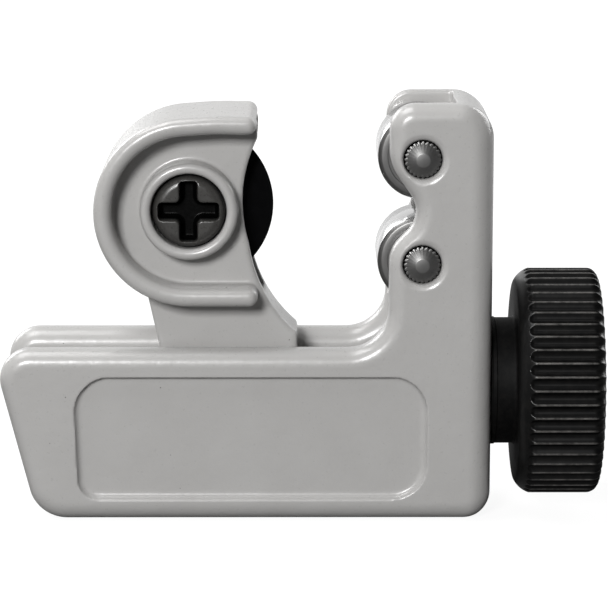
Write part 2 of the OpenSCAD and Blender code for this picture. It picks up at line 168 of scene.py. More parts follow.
def inset(points, distance, flare):
    """The outline moved inwards by a distance, less the flare times each point's own share."""
    moved = []
    for i, (x, z, share) in enumerate(points):
        at = Vector((x, z))
        back = (at - Vector(points[i - 1][:2])).normalized()
        ahead = (Vector(points[(i + 1) % len(points)][:2]) - at).normalized()
        inwards = Vector((-back.y - ahead.y, back.x + ahead.x)) / (1 + back.dot(ahead))
        moved.append(at + inwards * (distance - flare * share))
    return moved


def quarter(steps=6):
    """Steps of a quarter turn, as (1 - cosine, 1 - sine) from (0, 1) to (1, 0)."""
    turns = [math.pi / 2 * i / steps for i in range(steps + 1)]
    return [(1 - math.cos(turn), 1 - math.sin(turn)) for turn in turns]


def sunk(depth, radius):
    """How far a rounded edge is drawn in, at a depth below the face."""
    return radius - math.sqrt(radius**2 - (radius - depth) ** 2) if depth < radius else 0.0


def share_of(value, start, end):
    """How far a value has gone from a start to an end, from 0 to 1."""
    return min(1.0, max(0.0, (value - start) / (end - start)))


def rounded_ends(half, radius):
    """The profile of a pillow across the middle, with both of its edges rounded."""
    end = [(half - radius * up, radius * (1 - math.sqrt(1 - (1 - up) ** 2)), 0) for _, up in quarter()]
    return mirrored_ends(end) + end


def mirrored_ends(profile):
    """A profile's other end, mirrored across the middle."""
    return [(-y, *rest) for y, *rest in reversed(profile)]


def pillow(points, profile):
    """A slab across the tool: the outline at each (y, inset, flare) of the profile, capped at both ends."""
    mesh = bmesh.new()
    loops = []
    for y, distance, flare in profile:
        loops.append([mesh.verts.new((p.x, y, p.y)) for p in inset(points, distance, flare)])
    for low, high in pairwise(loops):
        for i in range(len(low)):
            mesh.faces.new((low[i - 1], low[i], high[i], high[i - 1]))
    mesh.faces.new(loops[0])
    mesh.faces.new(loops[-1])
    bmesh.ops.recalc_face_normals(mesh, faces=mesh.faces)
    return mesh


def block(low, high):
    """A box from its lowest and highest corners."""
    low, high = Vector(low), Vector(high)
    mesh = bmesh.new()
    bmesh.ops.create_cube(mesh, size=1)
    size = Matrix.Diagonal((*(high - low), 1))
    bmesh.ops.transform(mesh, matrix=Matrix.Translation((low + high) / 2) @ size, verts=mesh.verts)
    return mesh


def about_x(z):
    """Places points around an axis along X at a height."""
    return lambda along, radius, turn: (along, radius * math.sin(turn), z + radius * math.cos(turn))


def about_y(x, z):
    """Places points around an axis along Y."""
    return lambda along, radius, turn: (x + radius * math.sin(turn), along, z + radius * math.cos(turn))


def turned(profile, place, steps=TURN_STEPS, shape=None):
    """A turned solid from (along, radius) points; a profile that leaves the axis closes on itself.

    Each vertex keeps its radius and its place along the axis as attributes, for turning marks.
    """
    mesh = bmesh.new()
    radius_layer = mesh.verts.layers.float.new("turned_radius")
    along_layer = mesh.verts.layers.float.new("turned_along")

    def vertex(along, radius, turn):
        if shape:
            radius = shape(along, radius, turn)
        made = mesh.verts.new(place(along, radius, turn))
        made[radius_layer] = radius
        made[along_layer] = along
        return made

    profile = [p for i, p in enumerate(profile) if i == 0 or math.dist(p, profile[i - 1]) > SAME_PLACE]
    rows = []
    for along, radius in profile:
        if radius == 0:
            rows.append([vertex(along, radius, 0)] * steps)
        else:
            rows.append([vertex(along, radius, 2 * math.pi * i / steps) for i in range(steps)])
    if profile[0][1] > 0:
        rows.append(rows[0])
    for low, high in pairwise(rows):
        for i in range(steps):
            around = (low[i - 1], low[i], high[i], high[i - 1])
            mesh.faces.new(dict.fromkeys(around))
    bmesh.ops.recalc_face_normals(mesh, faces=mesh.faces)
    return mesh


def rod(low, high, radius, place, steps):
    """A plain cylinder from one place along its axis to another."""
    return turned([(low, 0), (low, radius), (high, radius), (high, 0)], place, steps)


def mesh_data(name, mesh):
    """Blender's mesh data from a bmesh, which is used up."""
    data = bpy.data.meshes.new(name)
    mesh.to_mesh(data)
    mesh.free()
    return data


def in_scene(name, data):
    """A new object in the scene."""
    made = bpy.data.objects.new(name, data)
    bpy.context.scene.collection.objects.link(made)
    return made


def temporary(mesh):
    """A scene object that holds a bmesh while modifiers work on it."""
    return in_scene("temporary", mesh_data("temporary", mesh))


def modified(made):
    """The bmesh that an object's modifiers give."""
    evaluated = made.evaluated_get(bpy.context.evaluated_depsgraph_get())
    mesh = bmesh.new()
    mesh.from_mesh(evaluated.to_mesh())
    evaluated.to_mesh_clear()
    return mesh


def discard(*used):
    """Removes temporary objects and their meshes."""
    for made in used:
        data = made.data
        bpy.data.objects.remove(made)
        bpy.data.meshes.remove(data)


def joined(meshes):
    """Several bmeshes as one."""
    whole = bmesh.new()
    for mesh in meshes:
        data = mesh_data("temporary", mesh)
        whole.from_mesh(data)
        bpy.data.meshes.remove(data)
    return whole


def cut(solids, cutters):
    """Solids, each less the cutters, in one mesh."""
    tools = [temporary(cutter) for cutter in cutters]
    parts = []
    for solid in solids:
        made = temporary(solid)
        for tool in tools:
            boolean = made.modifiers.new("cut", "BOOLEAN")
            boolean.operation = "DIFFERENCE"
            boolean.solver = "EXACT"
            boolean.object = tool
        parts.append(modified(made))
        discard(made)
    discard(*tools)
    return joined(parts)


def cast(mesh, grain, softening):
    """One skin over overlapping solids, with every edge softened as a die casting's is."""
    made = temporary(mesh)
    skin = made.modifiers.new("skin", "REMESH")
    skin.mode = "VOXEL"
    skin.voxel_size = grain
    soften = made.modifiers.new("soften", "SMOOTH")
    soften.factor = 0.5
    soften.iterations = softening
    skinned = modified(made)
    discard(made)
    return skinned


def piece(name, mesh, body, slot, replaced, sharp=None):
    """A finished piece in metres that rides on a body and stands for a CAD node."""
    data = mesh_data(name, mesh)
    data.transform(Matrix.Scale(MM, 4))
    data.polygons.foreach_set("use_smooth", [True] * len(data.polygons))
    if sharp:
        data.set_sharp_from_angle(angle=math.radians(sharp))
    made = in_scene(name, data)
    data.materials.append(MATERIALS[slot])
    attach(made, body)
    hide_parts(replaced)


# Materials

MARK_PITCH, MARK_DEPTH = 0.12, 0.004


class Nodes:
    """A node tree, with short ways to add the nodes that this script uses."""

    def __init__(self, tree):
        self.tree = tree

    def feed(self, socket, value):
        """Links a socket to an output, or sets its value."""
        if isinstance(value, bpy.types.NodeSocket):
            self.tree.links.new(value, socket)
        else:
            socket.default_value = value

    def node(self, kind, inputs=(), **settings):
        """A new node with its settings, its inputs fed by name or number."""
        made = self.tree.nodes.new(kind)
        for setting, value in settings.items():
            setattr(made, setting, value)
        for socket, value in dict(inputs).items():
            self.feed(made.inputs[socket], value)
        return made

    def between(self, value, low, high, start=0.0, end=1.0):
        """Low to high, as the value goes from start to end."""
        inputs = {"Value": value, "From Min": start, "From Max": end, "To Min": low, "To Max": high}
        return self.node("ShaderNodeMapRange", inputs).outputs["Result"]

    def math(self, operation, first, second):
        return self.node("ShaderNodeMath", {0: first, 1: second}, operation=operation).outputs[0]

    def scaled(self, vector, factor):
        inputs = {0: vector, 1: (factor,) * 3}
        return self.node("ShaderNodeVectorMath", inputs, operation="MULTIPLY").outputs["Vector"]

    def split(self, vector, axis):
        return self.node("ShaderNodeSeparateXYZ", {"Vector": vector}).outputs[axis]


class Shading(Nodes):
    """A material's node tree."""

    def __init__(self, name):
        self.material = bpy.data.materials.new(name)
        self.material.use_nodes = True
        super().__init__(self.material.node_tree)
        self.shader = self.tree.nodes["Principled BSDF"]

    def place(self):
        """Object coordinates in millimetres."""
        return self.scaled(self.node("ShaderNodeTexCoord").outputs["Object"], 1 / MM)

    def attribute(self, name):
        """One of the values that a turned part's vertices keep."""
        return self.node("ShaderNodeAttribute", attribute_name=name).outputs["Fac"]

    def turning(self, pitch):
        """Coordinates whose noise runs round the part as turning marks do."""
        places = {"X": self.attribute("turned_radius"), "Y": self.attribute("turned_along")}
        return self.scaled(self.node("ShaderNodeCombineXYZ", places).outputs["Vector"], 1 / pitch)

    def noise(self, where, scale, detail=2.0, rough=0.5):
        inputs = {"Vector": where, "Scale": scale, "Detail": detail, "Roughness": rough}
        return self.node("ShaderNodeTexNoise", inputs).outputs["Fac"]

    def blend(self, share, first, second):
        """A share of the second colour over the first; a mix node's colours are inputs 6, 7 and output 2."""
        return self.node("ShaderNodeMix", {0: share, 6: first, 7: second}, data_type="RGBA").outputs[2]

    def bump(self, height, strength, distance, under=None):
        inputs = {"Height": height, "Strength": strength, "Distance": distance * MM}
        if under:
            inputs["Normal"] = under
        return self.node("ShaderNodeBump", inputs).outputs["Normal"]

    def set(self, **values):
        """Sets the shader's sockets; a name's underscores stand for spaces."""
        for name, value in values.items():
            self.feed(self.shader.inputs[name.replace("_", " ")], value)


def painted_casting():
    """Warm grey glossy powder coat with orange peel and a few dark specks."""
    paint = Shading("painted_casting")
    place = paint.place()
    cloud = paint.noise(place, 0.22, 3.0)
    tone = paint.blend(cloud, (0.375, 0.368, 0.360, 1), (0.415, 0.410, 0.402, 1))
    dots = paint.node("ShaderNodeTexVoronoi", {"Vector": place, "Scale": 0.32}).outputs["Distance"]
    speck = paint.between(dots, 1.0, 0.0, 0.012, 0.03)
    peel = paint.noise(place, 2.6, 1.5)
    grain = paint.noise(place, 9.0, 2.0)
    wave = paint.noise(place, 0.75, 2.0)
    surface = paint.bump(wave, 0.35, 0.10)
    surface = paint.bump(peel, 0.28, 0.035, surface)
    surface = paint.bump(grain, 0.2, 0.012, surface)
    paint.set(
        Base_Color=paint.blend(speck, tone, (0.09, 0.088, 0.085, 1)),
        Roughness=paint.between(peel, 0.27, 0.41, 0.3, 0.7),
        Normal=surface,
        Coat_Weight=0.35,
        Coat_Roughness=0.18,
    )
    return paint.material


def machined(name, dark, light, metallic, smooth, rough, gloss):
    """Turned metal, with fine marks round its axis."""
    metal = Shading(name)
    marks = metal.noise(metal.turning(MARK_PITCH), 1.0, 2.0)
    stain = metal.noise(metal.place(), 0.8, 3.0)
    metal.set(
        Base_Color=metal.blend(stain, dark, light),
        Metallic=metallic,
        Specular_IOR_Level=gloss,
        Roughness=metal.between(marks, smooth, rough, 0.3, 0.7),
        Normal=metal.bump(marks, 0.35, MARK_DEPTH),
    )
    return metal.material


def roller_steel():
    """A roller with a ground bright cylinder and rougher, duller turned faces, whose much darker colour is
    painted shade.
    """
    steel = Shading("roller_steel")
    marks = steel.noise(steel.turning(MARK_PITCH), 1.0, 2.0)
    ground = steel.between(steel.attribute("turned_radius"), 0.0, 1.0, ROLLER_R - 0.12, ROLLER_R - 0.02)
    stain = steel.noise(steel.place(), 0.8, 3.0)
    # The faces' dark colour is painted shade, on top of their real rougher turned finish
    face = steel.blend(stain, (0.14, 0.139, 0.137, 1), (0.20, 0.198, 0.195, 1))
    steel.set(
        Base_Color=steel.blend(ground, face, (0.60, 0.60, 0.60, 1)),
        Metallic=1.0,
        Roughness=steel.between(ground, 0.42, 0.16),
        Normal=steel.bump(marks, 0.35, MARK_DEPTH),
    )
    return steel.material


def wheel_screw_steel():
    """Black oxide, mottled on the head's face, with painted shade that turns it near black and less shiny
    deeper in the recess.
    """
    steel = Shading("black_oxide_steel")
    place = steel.place()
    # Painted shade: deeper in the recess the colour goes near black and the sheen drops
    recess_shade = steel.between(steel.split(place, "Y"), 0.0, 1.0, SCREW_LOW.y + 0.2, SCREW_LOW.y + 1.1)
    stain = steel.noise(place, 0.9, 3.0)
    skin = steel.noise(place, 2.5, 2.0)
    worn = steel.blend(stain, (0.034, 0.033, 0.031, 1), (0.056, 0.054, 0.051, 1))
    steel.set(
        Base_Color=steel.blend(recess_shade, worn, (0.001, 0.001, 0.001, 1)),
        Metallic=0.1,
        Specular_IOR_Level=steel.between(recess_shade, 0.55, 0.10),
        Roughness=steel.between(skin, 0.24, 0.36, 0.3, 0.7),
        Normal=steel.bump(skin, 0.2, 0.01),
    )
    return steel.material


def black_plastic():
    """Moulded black plastic: dull on the collar, shinier on the fluted grip, and lighter on its crests,
    partly from wear and partly as painted highlight.
    """
    plastic = Shading("black_plastic")
    place = plastic.place()
    grain = plastic.noise(place, 6.0, 3.0)
    dust = plastic.noise(place, 1.4, 5.0, 0.65)
    radius = plastic.attribute("turned_radius")
    along = plastic.attribute("turned_along")
    handled = plastic.between(radius, 0.0, 1.0, KNOB_R - SHOULDER_DROP, KNOB_R - 0.7)
    # The crests are lighter in patches, from the shoulder to the rounded end: partly wear, partly painted
    # highlight along the ridges
    crest = plastic.between(radius, 0.0, 1.0, KNOB_R - 0.10, KNOB_R - 0.01)
    body_x = KNOB_LOW.x + COLLAR_LEN
    grip = plastic.between(along, 0.0, 1.0, body_x + 0.7, body_x + 1.2)
    tip = plastic.between(along, 1.0, 0.15, KNOB_HIGH.x - 1.4, KNOB_HIGH.x - 0.6)
    worn = plastic.math("MULTIPLY", plastic.math("MULTIPLY", crest, grip), tip)
    worn = plastic.math("MULTIPLY", worn, plastic.between(dust, 0.25, 1.0, 0.35, 0.65))
    dusty = plastic.between(dust, 0.0, 1.0, 0.45, 0.75)
    black = plastic.blend(dusty, (0.0015, 0.0015, 0.0016, 1), (0.006, 0.0056, 0.0052, 1))
    # The end face is a little lighter than the flutes
    end = plastic.between(along, 0.0, 1.0, KNOB_HIGH.x - KNOB_RIM_R, KNOB_HIGH.x - 0.8)
    inside = plastic.between(radius, 1.0, 0.0, KNOB_R - 1.6, KNOB_R - KNOB_RIM_R)
    black = plastic.blend(plastic.math("MULTIPLY", end, inside), black, (0.016, 0.0158, 0.0155, 1))
    plastic.set(
        # The light crest colour is painted highlight as well as wear
        Base_Color=plastic.blend(worn, black, (0.12, 0.116, 0.111, 1)),
        Roughness=plastic.between(handled, 0.60, 0.30),
        Specular_IOR_Level=plastic.between(handled, 0.10, 0.25),
        Normal=plastic.bump(grain, 0.2, 0.012),
    )
    return plastic.material


# For each: dark and light stain, metallic, lowest and highest roughness, gloss
MACHINED = {
    "black_tool_steel": ((0.0012, 0.0012, 0.0014, 1), (0.003, 0.003, 0.0034, 1), 0.0, 0.30, 0.45, 0.06),
    "pin_steel": ((0.14, 0.139, 0.137, 1), (0.21, 0.209, 0.206, 1), 0.9, 0.38, 0.48, 0.3),
    "screw_steel": ((0.42, 0.42, 0.43, 1), (0.56, 0.56, 0.57, 1), 1.0, 0.25, 0.40, 0.5),
    "spring_steel": ((0.10, 0.10, 0.11, 1), (0.17, 0.17, 0.18, 1), 1.0, 0.30, 0.45, 0.5),
}
MATERIALS = {
    "painted_casting": painted_casting(),
    "black_oxide_steel": wheel_screw_steel(),
    "roller_steel": roller_steel(),
    "black_plastic": black_plastic(),
    **{name: machined(name, *looks) for name, looks in MACHINED.items()},
}


# The frame


def knob_side_and_foot(points):
    """The outline with a flare of 1 on the side that faces the knob, and less along the underside."""
    foot_flare = 0.6
    flared = []
    for x, z, _ in points:
        knob_side = share_of(x, WALL_X - HEEL_R, WALL_X)
        flared.append((x, z, max(knob_side, foot_flare * share_of(z, HEEL_R, 0))))
    return flared


def frame_outline():
    """A side plate: base beam, upright, and the notch between the rollers."""
    notch_z = ROLLERS_MID_Z - NOTCH_DROP
    return outline(
        [
            (TIP_X + BASE_H * math.tan(END_LEAN), 0, TOE_R),
            (WALL_X, 0, HEEL_R),
            (WALL_X, FRAME_H, CROWN_R),
            (UPRIGHT_X, FRAME_H, BROW_R),
            (UPRIGHT_X, notch_z + NOTCH_DEPTH / math.tan(NOTCH_UPPER_LEAN), NOTCH_UPPER_R),
            (UPRIGHT_X + NOTCH_DEPTH, notch_z, NOTCH_R),
            (UPRIGHT_X, notch_z - NOTCH_DEPTH / math.tan(NOTCH_LOWER_LEAN), NOTCH_LOWER_R),
            (UPRIGHT_X, BASE_H, CROOK_R),
            (TIP_X, BASE_H, TIP_R),
        ]
    )


def floor_outline():
    """The channel's floor, between the side plates."""
    return outline(
        [
            (TIP_X + BASE_H * math.tan(END_LEAN), 0, TOE_R),
            (WALL_X, 0, HEEL_R),
            (WALL_X, FLOOR_T, 0),
            (TIP_X + (BASE_H - FLOOR_T) * math.tan(END_LEAN), FLOOR_T, 0),
        ]
    )


def panel_outline():
    """The sunk panel's outline, with a share that grows to 1 over its upper corners."""
    low_x = FRAME_LOW.x + PANEL_FROM_TIP
    high_z = BASE_H - PANEL_DROP
    right_x = WALL_X - PANEL_FROM_HEEL
    points = outline(
        [
            (low_x + (high_z - PANEL_LOW) * math.tan(PANEL_LEAN), PANEL_LOW, PANEL_TOE_R),
            (right_x, PANEL_LOW, PANEL_R),
            (right_x, high_z, PANEL_R),
            (low_x, high_z, PANEL_R),
        ]
    )
    return [(x, z, share_of(z, high_z - PANEL_R, high_z)) for x, z, _ in points]


def panel_cutter(side):
    """The sunk panel's cutter: its floor meets the wall in a cove that is tighter at the top."""
    floor_r, top_r = 0.64, 0.35
    floor_y = HALF_W - PANEL_DEPTH
    edge = 0.05
    profile = [(side * (HALF_W + 1), -edge, 0), (side * (HALF_W - edge), 0, 0)]
    for out, _ in reversed(quarter()):
        depth = floor_r * out
        drawn = sunk(depth, floor_r)
        profile.append((side * (floor_y + depth), drawn, drawn - sunk(depth, top_r)))
    return pillow(panel_outline(), profile)


def pin_cutter(centre, side):
    """A pin's bore with the shallow dish round it."""
    face = side * HALF_W
    profile = [
        (side * (HALF_W + 1), 0),
        (side * (HALF_W + 1), DISH_R),
        (face, DISH_R),
        (face - side * DISH_DEPTH / 2, DISH_R - 0.4),
        (face - side * DISH_DEPTH, PIN_HOLE_R + 0.1),
        (face - side * 2 * DISH_DEPTH, PIN_HOLE_R),
        (side * ROLLER_SLOT_W / 4, PIN_HOLE_R),
        (side * ROLLER_SLOT_W / 4, 0),
    ]
    return turned(profile, about_y(centre.x, centre.z), BORE_STEPS)


def build_frame():
    """Two side plates with a floor and a wall between them, less channel, slot, pockets, bores and panels."""
    side_view = knob_side_and_foot(frame_outline())
    lip_y = CHANNEL_W / 2
    plate = []
    for out, _ in quarter(10):
        depth = LARGE_FILLET * out
        outer = sunk(depth, OUTER_FILLET)
        plate.append((depth - HALF_W, outer, outer - sunk(depth, LARGE_FILLET)))
    for out, _ in reversed(quarter(8)):
        depth = INNER_FILLET * out
        plate.append((-lip_y - depth, sunk(depth, INNER_FILLET), 0))
    plates = [pillow(side_view, plate), pillow(side_view, mirrored_ends(plate))]
    buried_y = lip_y + INNER_FILLET
    wall = outline([(WEB_X, 1, 0), (WALL_X, 0, HEEL_R), (WALL_X, FRAME_H, CROWN_R), (WEB_X, FRAME_H, 0)])
    middle = [pillow(points, [(-buried_y, 0, 0), (buried_y, 0, 0)]) for points in (floor_outline(), wall)]
    slot_y = ROLLER_SLOT_W / 2
    undercut_y = UNDERCUT_W / 2
    past = 2.0
    cutters = [
        block((FRAME_LOW.x - past, -undercut_y, FLOOR_T), (WEB_X, undercut_y, LIP_Z)),
        block((UPRIGHT_X - CROOK_R, -slot_y, SLOT_Z), (WEB_X, slot_y, FRAME_H + past)),
        block((WEB_X - RING_POCKET_LEN, -slot_y, KNOB_Z - slot_y), (WEB_X, slot_y, SLOT_Z + past)),
        rod(WEB_X - past, WALL_X + past, SCREW_R + RUN_GAP, about_x(KNOB_Z), BORE_STEPS),
    ]
    for centre in ROLLER_CENTRES.values():
        cutters.append(rod(-slot_y, slot_y, POCKET_R, about_y(centre.x, centre.z), ROUND_STEPS))
        cutters += [pin_cutter(centre, side) for side in (-1, 1)]
    cutters += [panel_cutter(side) for side in (-1, 1)]
    skin = cast(cut(plates + middle, cutters), *FRAME_SKIN)
    piece("frame_casting", skin, "frame", "painted_casting", "frame")


# The slide


def throat_x(z):
    """The slide's edge on the side that faces the rollers, at a height."""
    throat = Vector((WHEEL.x + THROAT_WAIST + THROAT_R, WHEEL.z + THROAT_RISE))
    hollow = Vector((WHEEL.x + HOLLOW_WAIST + HOLLOW_R, WHEEL.z - HOLLOW_DROP))
    edge = WHEEL.x + NECK_FRONT
    for centre, radius in ((throat, THROAT_R), (hollow, HOLLOW_R)):
        rise = abs(z - centre.y)
        if rise < radius:
            edge = min(edge, centre.x - math.sqrt(radius**2 - rise**2))
    if z > WHEEL.z:
        edge = min(edge, WHEEL.x + ROOF_REACH)
    return edge


def neck_x(z):
    """The neck's back edge at a height."""
    return WHEEL.x - NECK_BACK - (z - BASE_H) * math.tan(NECK_LEAN)


def plate_outline():
    """Hood and neck in one outline, inside the rim, with a share that grows to 1 down the throat."""
    soft_from, soft_to = WHEEL.z + 3, BASE_H + 4
    inner_r = HOOD_R - RIM_T / 2
    top_z = WHEEL.z + inner_r
    rows = 96
    heights = [FOOT_Z + (top_z - FOOT_Z) * i / rows for i in range(rows + 1)]
    points = [(throat_x(z), z, share_of(z, soft_from, soft_to)) for z in heights]
    steps = 60
    for i in range(steps + 1):
        turn = math.pi / 2 + math.pi * i / steps
        x, z = WHEEL.x + inner_r * math.cos(turn), WHEEL.z + inner_r * math.sin(turn)
        if x < neck_x(z) or (x < WHEEL.x and z > WHEEL.z):
            points.append((x, z, 0.0))
    points.append((neck_x(FOOT_Z), FOOT_Z, 0.0))
    return points


def roof_line(radius, x):
    """Height at a place of the roof line that leaves an arc round the wheel's axis at a small rise."""
    return WHEEL.z + radius / math.cos(ROOF_RISE) + (x - WHEEL.x) * math.tan(ROOF_RISE)


def rim_outline():
    """The rim round the hood, with a share of the inner rounding that is largest under the roof."""
    left = WHEEL.x - HOOD_R
    low = WHEEL.z - HOOD_R
    inner_r = HOOD_R - RIM_T
    # An end's two arcs stop just short of each other
    end_r, bend_r = RIM_T / 2 - 0.005, 20
    top_x, roof_x = WHEEL.x + ROOF_TOP, WHEEL.x + ROOF_REACH
    fall = (ROOF_REACH - ROOF_TOP) * math.tan(ROOF_FALL)
    points = outline(
        [
            (roof_x, roof_line(HOOD_R, top_x) - fall, ROOF_R, 0),
            (top_x, roof_line(HOOD_R, top_x), bend_r, 0),
            (left, roof_line(HOOD_R, left), HOOD_R, 0),
            (left, low, HOOD_R, 0),
            (WHEEL.x + BAR_REACH, low, end_r, 0.35),
            (WHEEL.x + BAR_REACH, low + RIM_T, end_r, 0.5),
            (left + RIM_T, low + RIM_T, inner_r, 1),
            (left + RIM_T, roof_line(inner_r, left + RIM_T), inner_r, 1),
            (top_x, roof_line(inner_r, top_x), bend_r, 1),
            (roof_x - 2, roof_line(inner_r, top_x) - fall, 0, 1),
            (roof_x - 0.2, roof_line(inner_r, top_x) - fall, ROOF_UNDER_R, 0.4),
        ]
    )
    least, full_rise = 0.25, 7
    return [(x, z, share * min(1.0, max(least, (z - WHEEL.z) / full_rise))) for x, z, share in points]


def rim_profile():
    """Round edges on the rim, larger inside than outside, and a cove where it meets the plate."""
    face = []
    for out, _ in quarter(10):
        depth = RIM_INNER_R * out
        outer = sunk(depth, RIM_OUTER_R)
        face.append((depth - HOOD_HALF_W, outer, outer - sunk(depth, RIM_INNER_R)))
    cove = [(-PLATE_W / 2 - RIM_COVE * up, 0, RIM_COVE * out) for out, up in quarter()]
    return face + cove + mirrored_ends(face + cove)


def boss(side):
    """The raised ring round the wheel screw, with a round lip and a cove at its foot."""
    plate_y, top_y = PLATE_W / 2, BOSS_W / 2
    lip_r = BOSS_LIP / 2
    hole_r = BOSS_R - BOSS_LIP if side < 0 else THREAD_HOLE_R
    turns = [math.pi / 2 * i / 6 for i in range(7)]
    arc = [(top_y - lip_r + lip_r * math.sin(turn), lip_r * math.cos(turn)) for turn in turns]
    lip = [(y, BOSS_R - lip_r + across) for y, across in arc]
    inner = [(y, hole_r + lip_r - across) for y, across in reversed(arc)]
    cove = [(plate_y + BOSS_COVE * up, BOSS_R + BOSS_COVE * out) for out, up in reversed(quarter(4))]
    profile = [(plate_y - 0.2, hole_r), (plate_y - 0.2, BOSS_R + BOSS_COVE), *cove, *lip, *inner]
    points = [(side * along, radius) for along, radius in profile]
    return turned(points, about_y(WHEEL.x, WHEEL.z), ROUND_STEPS)


def build_slide():
    """Hood, rim, bosses and foot, less the wheel's pocket and the screws' bores."""
    plate_y = PLATE_W / 2
    slot_y = WHEEL_SLOT_W / 2
    plate_edge_r, throat_extra, foot_edge_r = 0.4, 0.8, 0.3
    edge = []
    for y, distance, _ in rounded_ends(plate_y, plate_edge_r):
        edge.append((y, distance, -throat_extra * distance))
    foot_top = LIP_Z - FOOT_GAP
    foot = outline(
        [
            (neck_x(FOOT_Z), FOOT_Z, foot_edge_r),
            (WHEEL.x + NECK_FRONT, FOOT_Z, foot_edge_r),
            (WHEEL.x + NECK_FRONT, foot_top, foot_edge_r),
            (neck_x(foot_top), foot_top, foot_edge_r),
        ]
    )
    solids = [
        pillow(plate_outline(), edge),
        pillow(rim_outline(), rim_profile()),
        pillow(foot, rounded_ends(FOOT_W / 2, foot_edge_r)),
        boss(-1),
        boss(1),
    ]
    pocket_r = WHEEL_R + WHEEL_GAP
    open_x = WHEEL.x + NECK_FRONT + 2
    bore_r = SCREW_R + RUN_GAP
    shoulder_hole = [(-plate_y - 1, 0), (-plate_y - 1, bore_r), (0, bore_r)]
    thread_hole = [(0, THREAD_HOLE_R), (BOSS_W, THREAD_HOLE_R), (BOSS_W, 0)]
    cutters = [
        rod(-slot_y, slot_y, pocket_r, about_y(WHEEL.x, WHEEL.z), ROUND_STEPS),
        block((WHEEL.x, -slot_y, WHEEL.z - pocket_r), (open_x, slot_y, WHEEL.z + pocket_r)),
        turned(shoulder_hole + thread_hole, about_y(WHEEL.x, WHEEL.z), BORE_STEPS),
        rod(SLIDE_LOW.x, open_x, bore_r, about_x(KNOB_Z), BORE_STEPS),
    ]
    skin = cast(cut(solids, cutters), *SLIDE_SKIN)
    piece("slide_casting", skin, "slide", "painted_casting", "slide")


# Turned parts


def build_wheel():
    """The cutting wheel: a thin disc with a ground edge, on a hub."""
    hub_r, disc_y, edge_len = 4.4, 0.8, 2.6
    hub_y = WHEEL_HIGH.y
    bore_r = SCREW_R + RUN_GAP
    soft = 0.15
    half = [
        (hub_y, bore_r + soft),
        (hub_y, hub_r - soft),
        (hub_y - soft, hub_r),
        (disc_y + soft, hub_r),
        (disc_y, hub_r + soft),
        (disc_y, WHEEL_R - edge_len - soft),
        (disc_y - soft / 2, WHEEL_R - edge_len + soft),
        (0.03, WHEEL_R - 0.02),
    ]
    profile = half + [(0, WHEEL_R)] + mirrored_ends(half)
    profile += [(-hub_y + soft, bore_r), (hub_y - soft, bore_r)]
    body = turned(profile, about_y(WHEEL.x, WHEEL.z))
    piece("cutting_wheel", body, "cutter_wheel", "black_tool_steel", "cutter_wheel", 25)


def build_wheel_screw():
    """The wheel's shoulder screw, with a crowned head, a cross recess and a threaded end."""
    head_r, head_h = (SCREW_HIGH.z - SCREW_LOW.z) / 2, 2.4
    face_y, end_y = SCREW_LOW.y, SCREW_HIGH.y
    seat_y = face_y + head_h
    thread_r, thread_depth, pitch = 2.0, 0.32, 0.7
    shoulder_y = WHEEL_SLOT_W / 2
    rounding = ((0, 2.95), (0.04, 3.15), (0.14, 3.4), (0.42, 3.75), (0.75, 3.93), (1.05, head_r))
    crown = [(face_y, 0)] + [(face_y + sunk_by, radius) for sunk_by, radius in rounding]
    shank = [(seat_y - 0.1, head_r), (seat_y, head_r - 0.1), (seat_y, SCREW_R)]
    shank += [(shoulder_y, SCREW_R), (shoulder_y, thread_r)]
    thread = []
    along = shoulder_y + pitch
    while along < end_y - pitch:
        thread += [(along, thread_r), (along + pitch / 2, thread_r - thread_depth)]
        along += pitch
    end = [(end_y - 0.3, thread_r), (end_y, thread_r - 0.3), (end_y, 0)]
    body = turned(crown + shank + thread + end, about_y(WHEEL.x, WHEEL.z))
    arm, span = 1.02, 3.4
    cross = []
    for turn in range(4):
        spin = Matrix.Rotation(math.pi / 2 * turn, 2)
        for x, z, radius in ((span, -arm, 0.45), (span, arm, 0.45), (arm, arm, 0.5)):
            at = spin @ Vector((x, z))
            cross.append((WHEEL.x + at.x, WHEEL.z + at.y, radius))
    walls = ((-1, -0.12), (0, -0.06), (0.15, 0.02), (1.5, 0.22), (1.95, 0.55))
    recess = pillow(outline(cross), [(face_y + depth, distance, 0) for depth, distance in walls])
    skin = cast(cut([body], [recess]), *SCREW_SKIN)
    piece("wheel_screw_detailed", skin, "slide", "black_oxide_steel", "wheel_screw")


def build_roller(name):
    """A roller with a raised hub face, a chamfer and a ground cylinder."""
    centre = ROLLER_CENTRES[name]
    half = ROLLER_BOXES[name][1].y - centre.y
    chamfer, bore_r = 0.4, 2.06
    side = [
        (half - 0.15, bore_r),
        (half, bore_r + 0.15),
        (half, ROLLER_R - 1.15),
        (half - 0.06, ROLLER_R - 1.05),
        (half - 0.06, ROLLER_R - chamfer - 0.12),
        (half - 0.1, ROLLER_R - chamfer),
        (half - chamfer, ROLLER_R - 0.05),
        (half - chamfer - 0.12, ROLLER_R),
    ]
    body = turned(side + mirrored_ends(side), about_y(centre.x, centre.z))
    piece(f"{name}_detailed", body, name, "roller_steel", name, 30)


